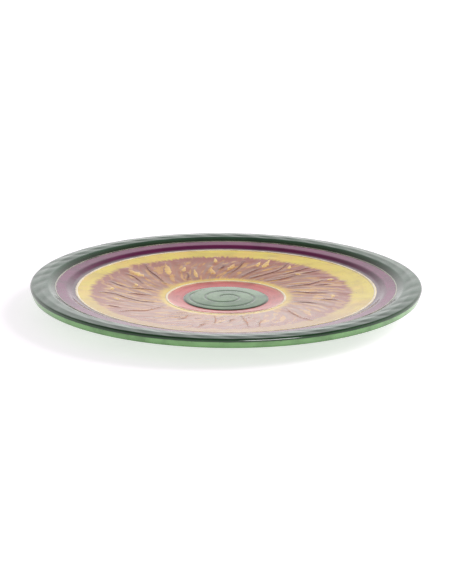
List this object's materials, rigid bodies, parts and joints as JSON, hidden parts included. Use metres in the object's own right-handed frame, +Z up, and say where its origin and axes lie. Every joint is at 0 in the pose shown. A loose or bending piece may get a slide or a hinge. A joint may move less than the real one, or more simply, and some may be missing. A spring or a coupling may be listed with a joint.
{
  "type": "decorative plate",
  "caption": "Round glazed ceramic plate with a sloping painted field, banded colours, a raised centre medallion, a stepped rim and a rope-twist edge; stands on a foot ring.",
  "frame": {"origin": "on the table under the middle of the plate", "axes": "+Z up out of the well, the plate's own turning axis; +X and +Y are any two level directions, with the painted marks placed from +X anticlockwise"},
  "size_m": [0.3, 0.3, 0.022],
  "materials": {
    "fired_clay": "bare fired clay, matt and faintly gritty",
    "centre_green_glaze": "glossy grey-green glaze",
    "centre_dark_glaze": "glossy, darker grey-green glaze",
    "red_glaze": "glossy pink glaze, deep red where it pools",
    "cream_slip": "glossy cream slip line",
    "pale_slip": "glossy pale grey slip line",
    "yellow_glaze": "glossy yellow glaze",
    "mauve_glaze": "glossy mauve glaze, mottled",
    "brown_paint": "glossy brown brush strokes",
    "purple_glaze": "glossy purple glaze",
    "rim_green_glaze": "glossy grey-green glaze, darker in the hollows",
    "back_green_glaze": "glossy green glaze"
  },
  "bodies": {
    "root": {"clay_body": "fired_clay", "medallion_glaze": "centre_green_glaze", "medallion_spiral": "centre_dark_glaze", "red_glaze": "red_glaze", "inner_cream_line": "cream_slip", "inner_yellow_line": "yellow_glaze", "field_glaze": "mauve_glaze", "brown_strokes": "brown_paint", "flame_dabs": "yellow_glaze", "yellow_glaze": "yellow_glaze", "outer_cream_line": "cream_slip", "purple_glaze": "purple_glaze", "rim_line": "pale_slip", "rim_glaze": "rim_green_glaze", "back_glaze": "back_green_glaze", "well_back_glaze": "back_green_glaze"}
  },
  "joints": []
}
